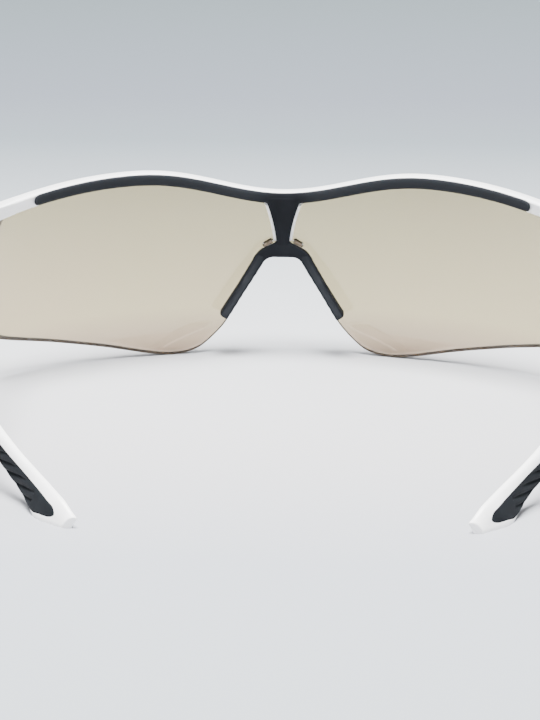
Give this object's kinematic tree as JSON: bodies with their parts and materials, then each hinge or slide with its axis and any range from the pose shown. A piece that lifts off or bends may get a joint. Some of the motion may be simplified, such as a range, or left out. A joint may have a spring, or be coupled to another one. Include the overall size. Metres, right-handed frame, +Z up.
{
  "type": "sports sunglasses",
  "caption": "Half-rim sports sunglasses with a one-piece wrap lens, soft brow pad, bendable nose arms, and folding temples with ribbed grips.",
  "frame": {"origin": "middle of the outline on the surface that the opened glasses stand on", "axes": "+Z up, the lens faces -Y, the temples reach towards +Y, the wearer's left is +X"},
  "size_m": [0.1436, 0.1547, 0.0461],
  "materials": {
    "frame_white": "gloss",
    "clip_white": "gloss",
    "lens_tint": "gloss",
    "soft_black": "matt",
    "core_metal": "satin",
    "screw_steel": "satin"
  },
  "bodies": {
    "front": {"front_frame": "frame_white", "lens_shield": "lens_tint", "brow_pad": "soft_black", "nose_clip": "clip_white", "nose_bridge": "soft_black", "nose_core_bridge": "core_metal", "hinge_screw_left": "screw_steel", "hinge_screw_right": "screw_steel"},
    "temple_left": {"temple_arm_left": "frame_white", "temple_grip_left": "soft_black"},
    "temple_right": {"temple_arm_right": "frame_white", "temple_grip_right": "soft_black"},
    "nose_arm_left": {"nose_pad_left": "soft_black", "nose_core_left": "core_metal"},
    "nose_arm_right": {"nose_pad_right": "soft_black", "nose_core_right": "core_metal"}
  },
  "joints": [
    {"name": "temple_fold_left", "type": "hinge", "parent": "front", "child": "temple_left", "pos_m": [0.0688, -0.0343, 0.0372], "axis": [0, 0, 1], "range_deg": [0, 86]},
    {"name": "temple_fold_right", "type": "hinge", "parent": "front", "child": "temple_right", "pos_m": [-0.0688, -0.0343, 0.0372], "axis": [0, 0, -1], "range_deg": [0, 80]},
    {"name": "nose_bend_left", "type": "hinge", "parent": "front", "child": "nose_arm_left", "pos_m": [0.0053, -0.071, 0.0238], "axis": [0, 1, 0], "range_deg": [0, 22]},
    {"name": "nose_bend_right", "type": "hinge", "parent": "front", "child": "nose_arm_right", "pos_m": [-0.0053, -0.071, 0.0238], "axis": [0, -1, 0], "range_deg": [0, 22]}
  ]
}
